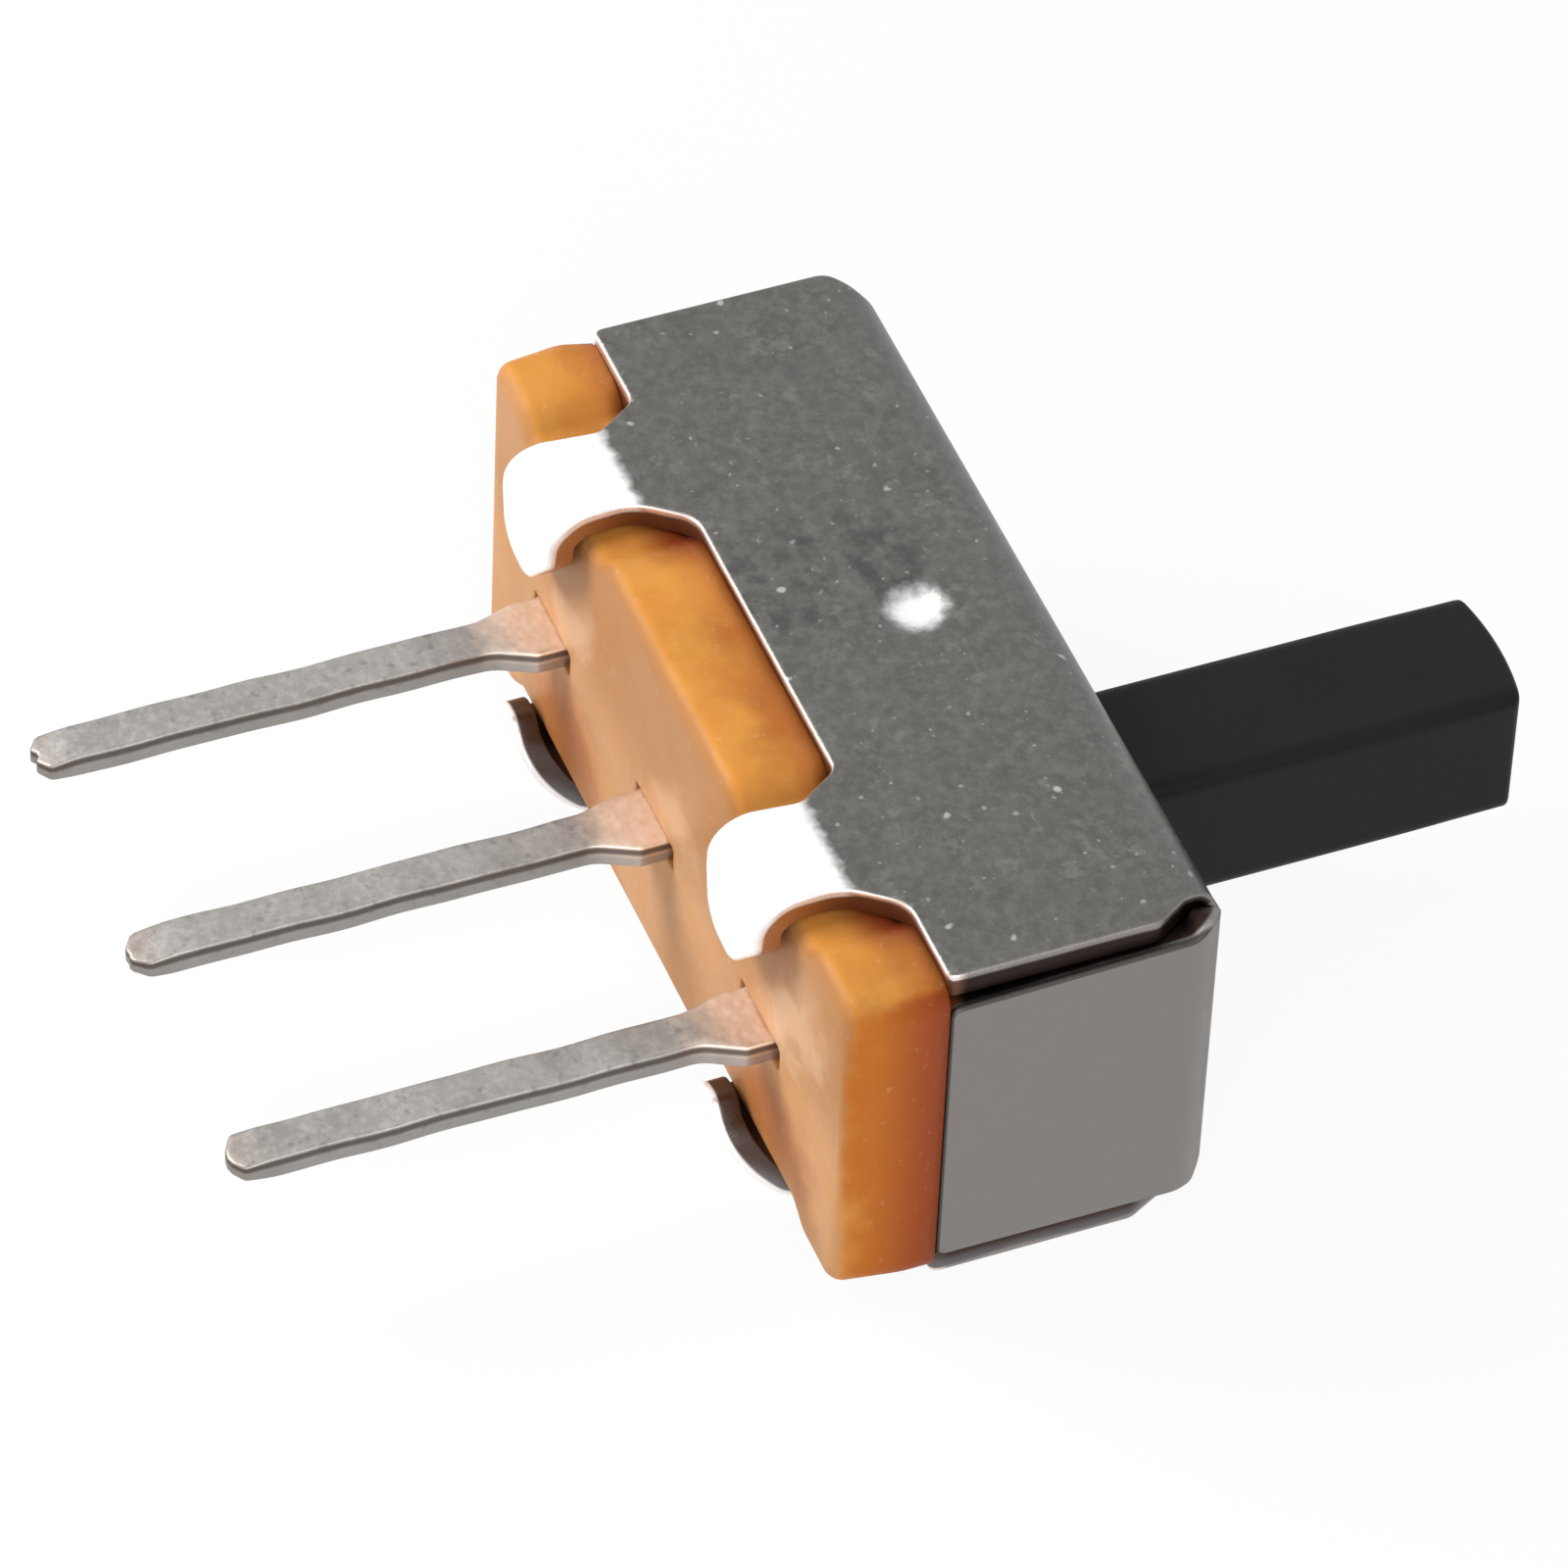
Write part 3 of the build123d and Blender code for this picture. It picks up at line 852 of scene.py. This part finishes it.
class SLIDE_OT_base(bpy.types.Operator):
    """Moulds the base: a flange with a rounded seat, a plug and three terminal slots"""

    bl_idname = "slide_switch.base"
    bl_label = "Base"

    def execute(self, context):
        given = context.scene.slide_switch_base
        edge, lip = given.edge / MM, given.lip / MM
        seat, depth = BASE_LOW[1], BASE_HIGH[1] - BASE_LOW[1]
        middle = (BASE_LOW[2] + BASE_HIGH[2]) / 2
        half_height = (BASE_HIGH[2] - BASE_LOW[2]) / 2
        widest = BASE_HIGH[0]
        half_length = widest - given.flare / MM
        plug, flange = 3.98, 0.912
        plug_height, taper_from = 1.58, 1.2

        def place(a, b, deep):
            """The outline carried back from the seat: it flares, then steps in to the plug.

            The seat sags by a small product of a sine along it and a cosine across it.
            """
            flare, shrink = widest - half_length, plug - half_length
            steps = (0, edge, 0.63, flange, flange + 0.01, depth)
            near = np.interp(deep, steps, (0, 0, flare, flare, shrink, shrink))
            far = np.interp(deep, steps, (0.04, 0.05, 0.1, 0.02, shrink, shrink))
            grow = np.where(a > 0, near, far)
            share = ease(np.abs(a), half_length - 0.45, half_length - 0.05)
            x = a + np.sign(a) * grow * share
            inner = (plug_height - taper_from) / (half_height - taper_from)
            shrunk = taper_from + (np.abs(b) - taper_from) * inner
            in_plug = (deep > flange + 0.005) & (np.abs(b) > taper_from)
            b = np.where(in_plug, np.sign(b) * shrunk, b)
            sag = 0.012 + 0.012 * np.sin(1.7 * a + 0.6) * np.cos(1.9 * b)
            return np.column_stack((x, seat + deep + sag * (deep < 0.01), middle + b))

        def recess(centre):
            return [
                (centre + 1.14, half_height, 0.3),
                (centre + 0.9, plug_height, 0.12),
                (centre - 0.7, plug_height, 0.12),
                (centre - 0.96, half_height, 0.3),
            ]

        side_run = recess(CRIMP_TABS[0]) + recess(CRIMP_TABS[1])
        top_run = np.array(
            [(half_length, half_height, 0.24), *side_run, (-half_length, half_height, 0.18)]
        )
        outline = rounded(np.vstack((top_run, top_run[::-1] * (1, -1, 1))), 0.06)
        outline = set_in(outline, edge)
        rim = quarter_round(edge, 6)
        side = np.array([
            (edge, 0.3), (edge, 0.45), (edge, 0.58), (edge, 0.66), (edge, 0.76),
            (edge, flange), (edge, flange + 0.01), (edge, depth - 0.02), (edge - 0.02, depth),
        ])
        loops, rims = [outline], [np.vstack((rim, side))]
        for node in TERMINALS:
            low, high = corner_of(node)
            left, right = low[0] - SLOT_GAP, high[0] + 0.12
            down, up = low[2] - SLOT_GAP - middle, high[2] + SLOT_GAP - middle
            slot = rounded(
                [(left, down, 0.02), (left, up, 0.02), (right, up, 0.03), (right, down, 0.03)],
                0.05,
            )
            loops.append(set_in(slot, lip))
            rims.append(np.vstack((quarter_round(lip, 3), [(lip, 0.4), (lip, depth)])))
        lines = (
            lines_between((-half_length, half_length, 0.12)),
            lines_between((-half_height, half_height, 0.12)),
        )
        piece = slab("moulded_base", loops, rims, lines, 0.03, place)
        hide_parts("base")
        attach(piece, "housing")
        put_on(piece, self.resin(given))
        return {"FINISHED"}

    def skin(self, given, x, z, cloud, flow):
        """The seat's paler tone, a painted sheen: richer high up, redder by the tabs as painted
        shade, pale behind each pin as painted reflections of the pins.
        """
        resin, skin = given.resin, given.seat
        pale = cloud.mix(skin, tint(skin, 0.9))
        pale = (flow * 0.5).mix(pale, tuple(0.4 * a + 0.6 * b for a, b in zip(skin, resin)))
        rich = z.between(1.5, 2.5) * (0.5 + 0.5 * x.between(-3.4, -2.2))
        pale = (rich * 0.85).mix(pale, RICH)
        # Painted shade: the seat is darker and redder by each lower tab.
        for tab in CRIMP_TABS:
            along, rise = (x - (tab + 0.4)) * 1.1, (z - 0.75) * 1.6
            near_tab = (along * along + rise * rise).root()
            near_tab = (near_tab + (flow - 0.5) * 0.4).between(1.4, 0.3)
            pale = (near_tab * 0.8).mix(pale, LOW_TAB_SHADE)
        # Painted reflections: a pale streak behind each pin.
        for root, reach, amount in PIN_REFLECTIONS:
            along = (x - root - 0.3) * 0.75 + (z - 1.95) * 0.66 + (cloud - 0.5) * 0.3
            across = (x - root - 0.3) * 0.66 - (z - 1.95) * 0.75 + (cloud - 0.5) * 0.5
            streak = abs(across + (flow - 0.5) * 0.1).between(0.55, 0.1)
            streak = streak * along.between(-0.3, 0.1) * along.between(reach, reach * 0.35)
            pale = (streak * amount).mix(pale, PIN_REFLECTION)
        return pale

    def resin(self, given):
        """Waxy resin: paler on the seat as a painted sheen, redder and darker under the case as
        painted shade.
        """
        material, start, shader = finish(
            "moulded_resin_finish", Subsurface_Weight=0.1,
            Subsurface_Radius=(1.0, 0.45, 0.2), Subsurface_Scale=0.3 * MM,
            Specular_IOR_Level=0.15,
        )
        at = start.place()
        x, y, z = at.part(0), at.part(1), at.part(2)
        cloud = at.noise(0.9, 4.0, 0.6).between(0.3, 0.7)
        flow = at.noise(2.4, 3.0, 0.55).between(0.35, 0.7)
        grit = at.noise(13.0, 2.0, 0.5).between(0.62, 0.8)
        body = cloud.mix(tint(given.resin, 1.06), tint(given.resin, 0.86))
        body = (flow * 0.3).mix(body, FLOW)
        pale = self.skin(given, x, z, cloud, flow)
        front = (y + (at.noise(3.0) - 0.5) * 0.05).between(BASE_LOW[1] + 0.12, BASE_LOW[1] + 0.03)
        # Painted sheen: the seat face takes the paler tone.
        base = front.mix(body, pale)
        # Painted shade: the resin darkens towards the case.
        case_shade = (y + (cloud - 0.5) * 0.3).between(-1.95, -1.3)
        base = (case_shade * 0.55).mix(base, given.shade)
        # Painted shade: the near end face takes a darker, redder copy of the resin, and more shade
        # towards the case.
        end = (x + (cloud - 0.5) * 0.08).between(4.1, 4.2)
        base = end.mix(base, tuple(c * k for c, k in zip(given.resin, END_FACE_SHADE_TINT)))
        base = (end * (0.15 + 0.75 * y.between(-2.0, -1.35))).mix(base, given.shade)
        # Painted shade: dark red resin beside each upper tab, under the wall's edge.
        for tab in CRIMP_TABS:
            beside_tab_shade = x - (tab + 0.86)
            beside_tab_shade = 1 - abs(beside_tab_shade).between(0.15, 0.6)
            beside_tab_shade = beside_tab_shade * y.between(-1.95, -1.42) * z.between(3.2, 3.4)
            base = (beside_tab_shade * 0.92).mix(base, BESIDE_TAB_SHADE)
        base = (grit * 0.12).mix(base, GRIT)
        height = at.noise(5.0, 3.0, 0.55) * 0.7 + flow * 0.3
        feed(
            start, shader, Base_Color=base, Roughness=0.42 + cloud * 0.1,
            Normal=height.bump(0.18, 0.02),
        )
        return material


# ---- The terminals ----


# Near the root the tin is painted pinkish as a painted reflection of the base.
TIP_BROWN, ROOT_RESIN_REFLECTION = (0.2, 0.13, 0.09), (0.84, 0.67, 0.55)
EDGE_DARK_LINE = (0.09, 0.07, 0.06)


class SLIDE_OT_terminals(bpy.types.Operator):
    """Stamps the three terminals: pin with a sheared tip, flared shoulder and blade"""

    bl_idname = "slide_switch.terminals"
    bl_label = "Terminals"

    def execute(self, context):
        given = context.scene.slide_switch_terminals
        tin = self.tin(given)
        half = given.pin / MM / 2
        seat = BASE_LOW[1]
        thick = PIN_HIGH[2] - PIN_LOW[2]
        tips = (
            ((-0.07, 0.0), (0.0, 0.07), (0.07, 0.01), 0.05),
            ((-0.06, 0.0), (0.02, 0.01), (0.09, 0.0), 0.08),
            ((-0.05, 0.01), (0.03, 0.0), (0.1, 0.02), 0.04),
        )
        for number, (node, tip) in enumerate(zip(TERMINALS, tips)):
            low, high = corner_of(node)
            x, end = (low[0] + high[0]) / 2, low[1]
            shoulder = (high[0] - low[0]) / 2
            neck = seat - given.shoulder / MM - given.flare / MM
            outline = rounded(
                [
                    (x - half, end + 0.1, 0.05),
                    (x + tip[0][0], end + tip[0][1], 0.04),
                    (x + tip[1][0], end + tip[1][1], 0.03),
                    (x + tip[2][0], end + tip[2][1], 0.04),
                    (x + half, end + 0.06 + tip[3], 0.06),
                    (x + half, neck, 0.4),
                    (x + shoulder, neck + given.flare / MM, 0.06),
                    (x + shoulder, high[1], 0.05),
                    (x - shoulder, high[1], 0.05),
                    (x - shoulder, seat + 0.1, 0.05),
                    (x - shoulder + 0.07, seat, 0.05),
                    (x - shoulder + 0.07, neck + given.flare / MM, 0.06),
                    (x - half, neck, 0.4),
                ],
                0.05,
            )
            edge = 0.03
            outline = set_in(outline, edge)

            def place(a, b, deep, shift=number * 2.1, x=x, end=end):
                """A flat strip, thinner at its tip, that waves and leans by small sines."""
                free = ease(-b, -seat + 0.25, -seat + 0.9)
                wave = 0.006 * np.sin(3.1 * b + shift) + 0.004 * np.sin(7.3 * b + 2 * shift)
                lean = 0.004 * np.sin(5.2 * b + shift + np.sign(a - x))
                thin = 0.6 + 0.4 * ease(b, end - 0.05, end + 0.42)
                rise = thick / 2 - (thick / 2 - deep) * thin
                return np.column_stack((
                    a + free * lean, b, PIN_HIGH[2] - rise + free * wave
                ))

            lines = (
                lines_between((x - shoulder, x + shoulder, 0.08)),
                lines_between((end, high[1], 0.09)),
            )
            rim = rim_rows(thick, edge, 0.025, 3)
            piece = slab(node.replace("terminal", "stamped_terminal"), [outline], [rim],
                         lines, 0.03, place)
            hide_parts(node)
            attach(piece, "housing")
            put_on(piece, tin)
        return {"FINISHED"}

    def tin(self, given):
        """Dull fine-grained tin, brownish at the sheared tips, pinkish at the root as a painted
        reflection of the base, with a dark line along its edges and a little painted shade on its
        sides.
        """
        material, start, shader = finish("tinned_brass_finish", Metallic=1.0)
        at = start.place()
        y = at.part(1)
        depth = start.depth()
        cloud = at.noise(2.5, 4.0, 0.6).between(0.3, 0.7)
        speck = at.noise(12.0, 3.0, 0.6).between(0.4, 0.7)
        tin = given.tin
        base = cloud.mix(tint(tin, 0.88), tint(tin, 1.08))
        base = (speck * 0.35).mix(base, tint(tin, 1.35))
        pit = at.noise(9.0, 2.0, 0.6).between(0.55, 0.72)
        base = (pit * 0.5).mix(base, tint(tin, 0.5))
        tip = (y + (cloud - 0.5) * 0.2).between(-6.6, -7.0)
        base = (tip * 0.45).mix(base, TIP_BROWN)
        # Painted reflection: the tin is pinkish near the root, from the orange base.
        root = (y + (cloud - 0.5) * 0.2).between(-3.0, -2.4)
        base = (root * 0.9).mix(base, ROOT_RESIN_REFLECTION)
        # A dark line along the pins' edges, under the front face.
        line = depth.between(0.06, 0.16) * (1 - depth.between(0.3, 0.5))
        base = (line * 0.85).mix(base, EDGE_DARK_LINE)
        # Painted shade: the deeper half of each pin's sides and its back are a little darker.
        low = depth.between(0.4, 0.6)
        base = (low * 0.6).mix(base, tint(tin, 0.95))
        feed(
            start, shader, Base_Color=base, Roughness=0.42 + speck * 0.1,
            Normal=at.noise(10.0, 3.0, 0.6).bump(0.3, 0.01),
        )
        return material


# ---- The slider and its contact ----


class SLIDE_OT_slider(bpy.types.Operator):
    """Moulds the slider: the lever and the carriage with its channel"""

    bl_idname = "slide_switch.slider"
    bl_label = "Slider"

    def execute(self, context):
        given = context.scene.slide_switch_slider
        lever = self.lever(given)
        carriage = self.carriage(given)
        piece = united("moulded_slider", lever, carriage)
        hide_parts("slider")
        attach(piece, "slider")
        put_on(piece, self.black(given))
        return {"FINISHED"}

    def lever(self, given):
        """A rounded square carried along the depth of the lever, with a crowned end face."""
        half_x, half_z = given.lever_width / MM / 2, given.lever_thickness / MM / 2
        middle_x = (SLIDER_LOW[0] + SLIDER_HIGH[0]) / 2
        middle_z = (SLIDER_LOW[2] + SLIDER_HIGH[2]) / 2 - given.lever_drop / MM
        end, edge = SLIDER_HIGH[1], 0.06
        crown = given.crown / MM

        def place(a, b, deep):
            """A section of the lever; its end face falls off with the square of b."""
            swell = 1 - 0.012 * ease(-deep, -1.2, 0)
            fall = crown * (b / half_x) ** 2 * ease(-deep, -1.5, 0)
            return np.column_stack((
                middle_x + b * swell, end - deep - fall, middle_z + a * swell
            ))

        outline = rounded(
            [
                (half_z, -half_x, given.edge / MM + 0.04),
                (half_z, half_x, given.edge / MM + 0.04),
                (-half_z, half_x, given.edge / MM + 0.04),
                (-half_z, -half_x, given.edge / MM + 0.04),
            ],
            0.06,
        )
        outline = set_in(outline, edge)
        rim = quarter_round(edge, 4)
        long = end - (CARRIAGE_TOP) + 0.05
        side = np.column_stack((np.full(14, edge), np.linspace(0.25, long, 14)))
        lines = (
            lines_between((-half_z, half_z, 0.12)), lines_between((-half_x, half_x, 0.12))
        )
        return slab("lever", [outline], [np.vstack((rim, side))], lines, 0.03, place)

    def carriage(self, given):
        """An arch carried along the travel: its channel clears the fixed contacts."""
        low, high = SLIDER_LOW[2], SLIDER_HIGH[2]
        floor, top = SLIDER_LOW[1], CARRIAGE_TOP
        channel = given.channel / MM / 2
        middle = (PIN_LOW[2] + PIN_HIGH[2]) / 2
        roof = CLIP_HIGH[1] + 0.01
        outline = rounded(
            [
                (floor, low, 0.06), (top, low, 0.17), (top, high, 0.17),
                (0.6, high, 0.04), (0.52, high - 0.12, 0.04), (-0.34, high - 0.12, 0.04),
                (-0.42, high, 0.04), (floor, high, 0.06),
                (floor, middle + channel, 0.05), (roof, middle + channel, 0.04),
                (roof, middle - channel, 0.04), (floor, middle - channel, 0.05),
            ],
            0.1,
        )
        edge = 0.03
        outline = set_in(outline, edge)
        long = SLIDER_HIGH[0] - SLIDER_LOW[0]

        def place(a, b, deep):
            """A section of the arch, carried back along the travel."""
            return np.column_stack((SLIDER_HIGH[0] - deep, a, b))

        lines = lines_between((floor, top, 0.3)), lines_between((low, high, 0.3))
        return slab("carriage", [outline], [rim_rows(long, edge, edge, 3)], lines, 0.05, place)

    def black(self, given):
        """Satin black moulding with faint wear."""
        material, start, shader = finish("black_plastic_finish", Specular_IOR_Level=0.15)
        at = start.place()
        cloud = at.noise(0.8, 4.0, 0.6).between(0.3, 0.7)
        grit = at.noise(20.0, 2.0, 0.5).between(0.5, 0.8)
        base = cloud.mix(
            tint(given.black, 0.9), tint(given.black, 1.2)
        )
        base = (grit * 0.2).mix(base, tint(given.black, 2.2))
        feed(
            start, shader, Base_Color=base, Roughness=0.4 + cloud * 0.1,
            Normal=at.noise(12.0, 3.0).bump(0.15, 0.01),
        )
        return material


BRONZE_DARK, BRONZE_PALE = (0.52, 0.36, 0.18), (0.72, 0.55, 0.33)


class SLIDE_OT_contact(bpy.types.Operator):
    """Gives the sliding contact its bronze finish"""

    bl_idname = "slide_switch.contact"
    bl_label = "Contact"

    def execute(self, context):
        material, start, shader = finish("spring_bronze_finish", Metallic=1.0)
        at = start.place()
        streak = at.stretched(0.2, 1.0, 1.0).noise(6.0, 3.0).between(0.3, 0.7)
        base = streak.mix(BRONZE_DARK, BRONZE_PALE)
        feed(
            start, shader, Base_Color=base, Roughness=0.28 + streak * 0.12,
            Normal=at.noise(10.0, 2.0).bump(0.15, 0.005),
        )
        put_on(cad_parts["contact_clip"], material)
        return {"FINISHED"}


# ---- The stage ----


LAMPS = (
    ("key", (-22.0, -30.0, 34.0), 26.0, 0.022),
    ("fill", (34.0, -10.0, 26.0), 30.0, 0.008),
)
SENSOR = 36.0
FLOOR_HALF = 0.6
FLOOR_GREY = (0.9, 0.9, 0.9, 1.0)
FLOOR_SHOWN = 0.93  # how much of the floor is plain white where it is seen


class SLIDE_OT_stage(bpy.types.Operator):
    """Sets the camera, a plain pale floor and soft light"""

    bl_idname = "slide_switch.stage"
    bl_label = "Stage"

    def execute(self, context):
        scene = context.scene
        given = scene.slide_switch_stage
        scene.view_settings.view_transform = "Standard"
        self.camera(scene, given)
        self.floor()
        self.sky(scene, given)
        for name, place, size, power in LAMPS:
            self.lamp(name, place, size, power)
        return {"FINISHED"}

    def camera(self, scene, given):
        """A camera at an azimuth, an elevation and a distance from its target, with a roll."""
        azimuth, elevation, roll = given.azimuth, given.elevation, given.roll
        back = Vector((
            math.sin(azimuth) * math.cos(elevation),
            -math.cos(azimuth) * math.cos(elevation),
            math.sin(elevation),
        ))
        right = Vector((math.cos(azimuth), math.sin(azimuth), 0.0))
        up = back.cross(right)
        across = right * math.cos(roll) + up * math.sin(roll)
        upward = up * math.cos(roll) - right * math.sin(roll)
        data = bpy.data.cameras.new("camera")
        data.lens = given.lens
        data.sensor_width = SENSOR
        data.clip_start = 0.001
        camera = add_object("camera", data)
        camera.matrix_world = Matrix.Translation(
            Vector(given.target) + back * given.distance
        ) @ Matrix((across, upward, back)).transposed().to_4x4()
        scene.camera = camera

    def floor(self):
        """A wide floor, shown white, that keeps the switch's soft shadow."""
        half = FLOOR_HALF
        mesh = bpy.data.meshes.new("floor")
        mesh.from_pydata(
            [(-half, -half, 0), (half, -half, 0), (half, half, 0), (-half, half, 0)],
            [], [(0, 1, 2, 3)],
        )
        floor = add_object("floor", mesh)
        material = bpy.data.materials.new("pale_floor")
        material.use_nodes = True
        tree = material.node_tree
        tree.nodes.clear()
        start = Signal(tree)
        seen = self.seen(start)
        dull = start.node("ShaderNodeBsdfDiffuse", None, {"Color": FLOOR_GREY})
        white = start.node("ShaderNodeEmission", None, {"Strength": 1.0})
        mixed = start.node("ShaderNodeMixShader", None, {0: seen * FLOOR_SHOWN, 1: dull, 2: white})
        start.node("ShaderNodeOutputMaterial", None, {"Surface": mixed}, output=None)
        put_on(floor, material)
        floor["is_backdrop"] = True

    def seen(self, start):
        """1 for rays that show the background: from the camera, or from gloss or glass."""
        rays = [
            start.node("ShaderNodeLightPath", output=name)
            for name in ("Is Camera Ray", "Is Glossy Ray", "Is Transmission Ray")
        ]
        return rays[0].most(rays[1]).most(rays[2])

    def sky(self, scene, given):
        """A white sky that lights dull surfaces with the strength of the fill only."""
        world = bpy.data.worlds.new("studio")
        world.use_nodes = True
        scene.world = world
        tree = world.node_tree
        tree.nodes.clear()
        start = Signal(tree)
        seen = self.seen(start)
        strength = given.fill + seen * (1.0 - given.fill)
        white = (1.0, 1.0, 1.0, 1.0)
        light = start.node("ShaderNodeBackground", None, {"Color": white, "Strength": strength})
        start.node("ShaderNodeOutputWorld", None, {"Surface": light}, output=None)

    def lamp(self, name, place, size, power):
        """A round lamp turned to the switch; place and size are in millimetres."""
        data = bpy.data.lights.new(name, "AREA")
        data.shape = "DISK"
        data.size = size * MM
        data.energy = power
        lamp = add_object(name, data)
        spot = Vector(place) * MM
        lamp.location = spot
        lamp.rotation_euler = (-spot).to_track_quat("-Z", "Y").to_euler()


# ---- Panel and registration ----

SETTINGS = {
    "slide_switch_case": CaseSettings,
    "slide_switch_base": BaseSettings,
    "slide_switch_terminals": TerminalSettings,
    "slide_switch_slider": SliderSettings,
    "slide_switch_stage": StageSettings,
}
OPERATORS = (
    SLIDE_OT_case,
    SLIDE_OT_base,
    SLIDE_OT_terminals,
    SLIDE_OT_slider,
    SLIDE_OT_contact,
    SLIDE_OT_stage,
)


class SLIDE_PT_panel(bpy.types.Panel):
    """Settings and steps of the slide switch"""

    bl_idname = "SLIDE_PT_panel"
    bl_label = "Slide switch"
    bl_space_type = "VIEW_3D"
    bl_region_type = "UI"
    bl_category = "Slide switch"

    def draw(self, context):
        for name, group in SETTINGS.items():
            box = self.layout.box()
            given = getattr(context.scene, name)
            for key in group.__annotations__:
                box.prop(given, key)
        for operator in OPERATORS:
            self.layout.operator(operator.bl_idname)


CLASSES = (*SETTINGS.values(), *OPERATORS, SLIDE_PT_panel)


def register():
    for cls in CLASSES:
        bpy.utils.register_class(cls)
    for name, group in SETTINGS.items():
        setattr(bpy.types.Scene, name, PointerProperty(type=group))


def unregister():
    for name in SETTINGS:
        delattr(bpy.types.Scene, name)
    for cls in reversed(CLASSES):
        bpy.utils.unregister_class(cls)


def main():
    """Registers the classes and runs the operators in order."""
    register()
    for operator in OPERATORS:
        group, name = operator.bl_idname.split(".")
        getattr(getattr(bpy.ops, group), name)()
    boxes = {"cad": cad_box, "visual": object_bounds()}
    {key: [list(map(float, c)) for c in box] for key, box in boxes.items()}


if __name__ == "__main__":
    main()
